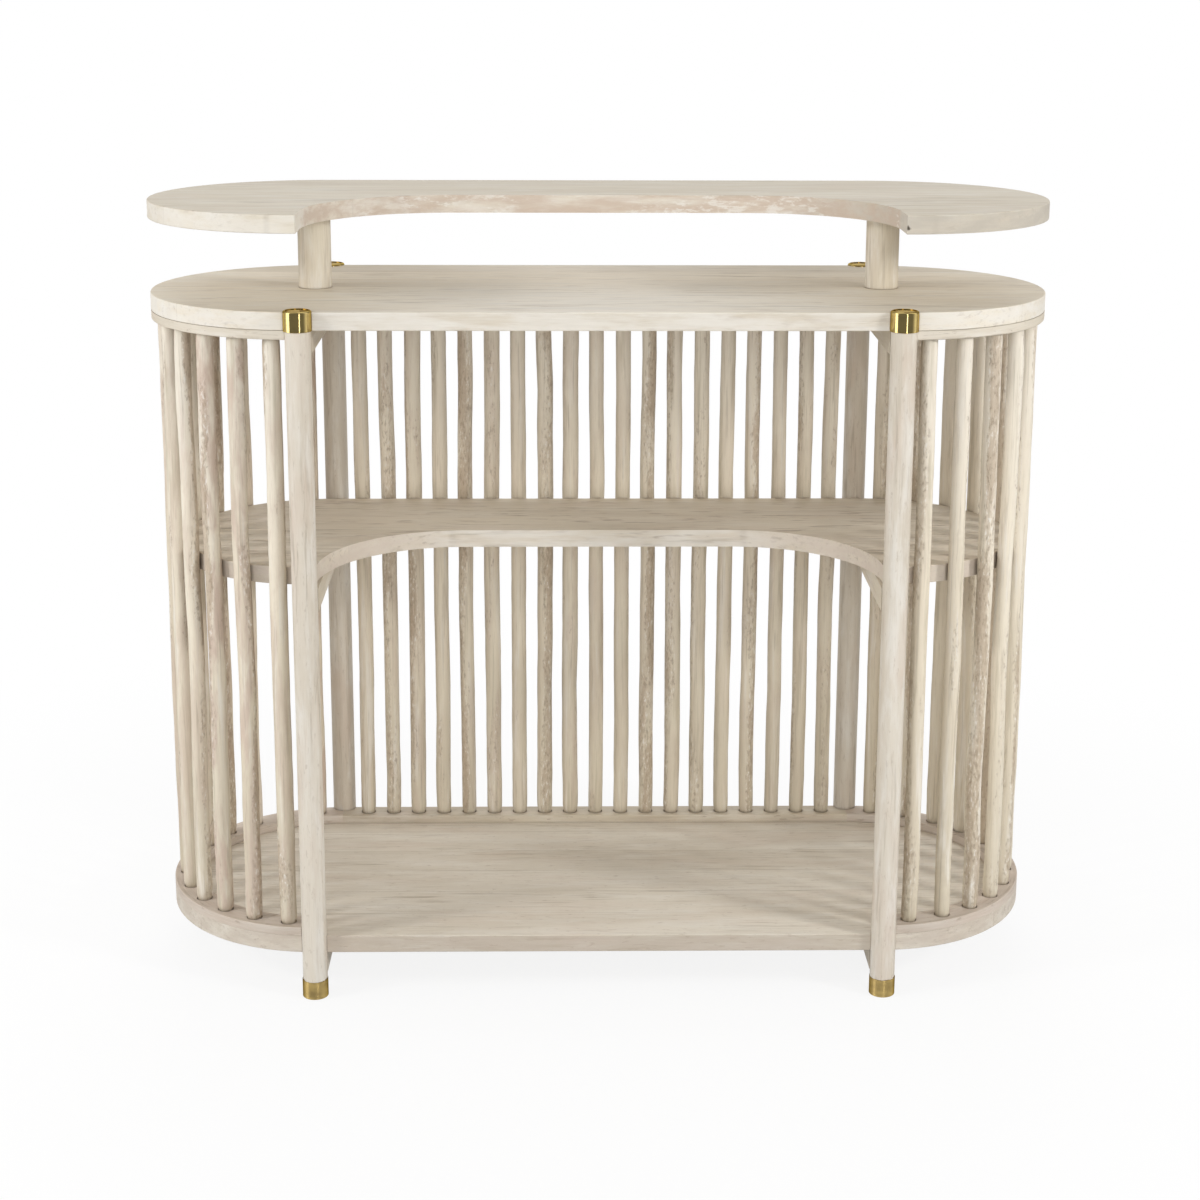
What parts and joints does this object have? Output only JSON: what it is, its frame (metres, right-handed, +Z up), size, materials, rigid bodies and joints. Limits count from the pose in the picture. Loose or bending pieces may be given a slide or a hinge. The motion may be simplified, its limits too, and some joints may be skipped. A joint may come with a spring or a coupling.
{
  "type": "bar table",
  "caption": "Bar table with rounded ends, open front, spindle sides and back, a counter, a middle shelf and a raised upper shelf, on round legs with brass caps.",
  "frame": {"origin": "on the floor, under the middle of the table", "axes": "+X along the counter to the right of a person who faces the open front, +Y from the open front to the spindle back, +Z up"},
  "size_m": [1.22, 0.481, 1.067],
  "materials": {
    "panel_wood": "whitewashed pale wood, dry matt grain",
    "leg_wood": "whitewashed pale wood, dry matt grain",
    "rail_wood": "whitewashed pale wood, dry matt grain",
    "spindle_wood": "whitewashed rough wood with bark marks",
    "brass": "polished",
    "steel": "zinc plated"
  },
  "bodies": {
    "root": {"base_panel": "panel_wood", "middle_shelf": "panel_wood", "counter_top": "panel_wood", "upper_shelf": "panel_wood", "front_left_leg": "leg_wood", "front_right_leg": "leg_wood", "rear_left_leg": "leg_wood", "rear_right_leg": "leg_wood", "base_cross_rail_left": "leg_wood", "base_cross_rail_right": "leg_wood", "shelf_cross_rail_left": "leg_wood", "shelf_cross_rail_right": "leg_wood", "counter_cross_rail_left": "leg_wood", "counter_cross_rail_right": "leg_wood", "shelf_post_left": "leg_wood", "shelf_post_right": "leg_wood", "post_dowels": "leg_wood", "lower_rail_left": "rail_wood", "lower_rail_back": "rail_wood", "lower_rail_right": "rail_wood", "upper_rail_left": "rail_wood", "upper_rail_back": "rail_wood", "upper_rail_right": "rail_wood", "back_spindles": "spindle_wood", "left_spindle_01": "spindle_wood", "left_spindle_02": "spindle_wood", "left_spindle_03": "spindle_wood", "left_spindle_04": "spindle_wood", "left_spindle_05": "spindle_wood", "left_spindle_06": "spindle_wood", "left_spindle_07": "spindle_wood", "left_spindle_08": "spindle_wood", "left_spindle_09": "spindle_wood", "left_spindle_10": "spindle_wood", "left_spindle_11": "spindle_wood", "left_spindle_12": "spindle_wood", "right_spindle_01": "spindle_wood", "right_spindle_02": "spindle_wood", "right_spindle_03": "spindle_wood", "right_spindle_04": "spindle_wood", "right_spindle_05": "spindle_wood", "right_spindle_06": "spindle_wood", "right_spindle_07": "spindle_wood", "right_spindle_08": "spindle_wood", "right_spindle_09": "spindle_wood", "right_spindle_10": "spindle_wood", "right_spindle_11": "spindle_wood", "right_spindle_12": "spindle_wood", "front_left_cap": "brass", "front_right_cap": "brass", "rear_left_cap": "brass", "rear_right_cap": "brass", "front_left_ferrule": "brass", "front_right_ferrule": "brass", "rear_left_ferrule": "brass", "rear_right_ferrule": "brass", "panel_screws": "steel", "post_bolts": "steel"}
  },
  "joints": []
}
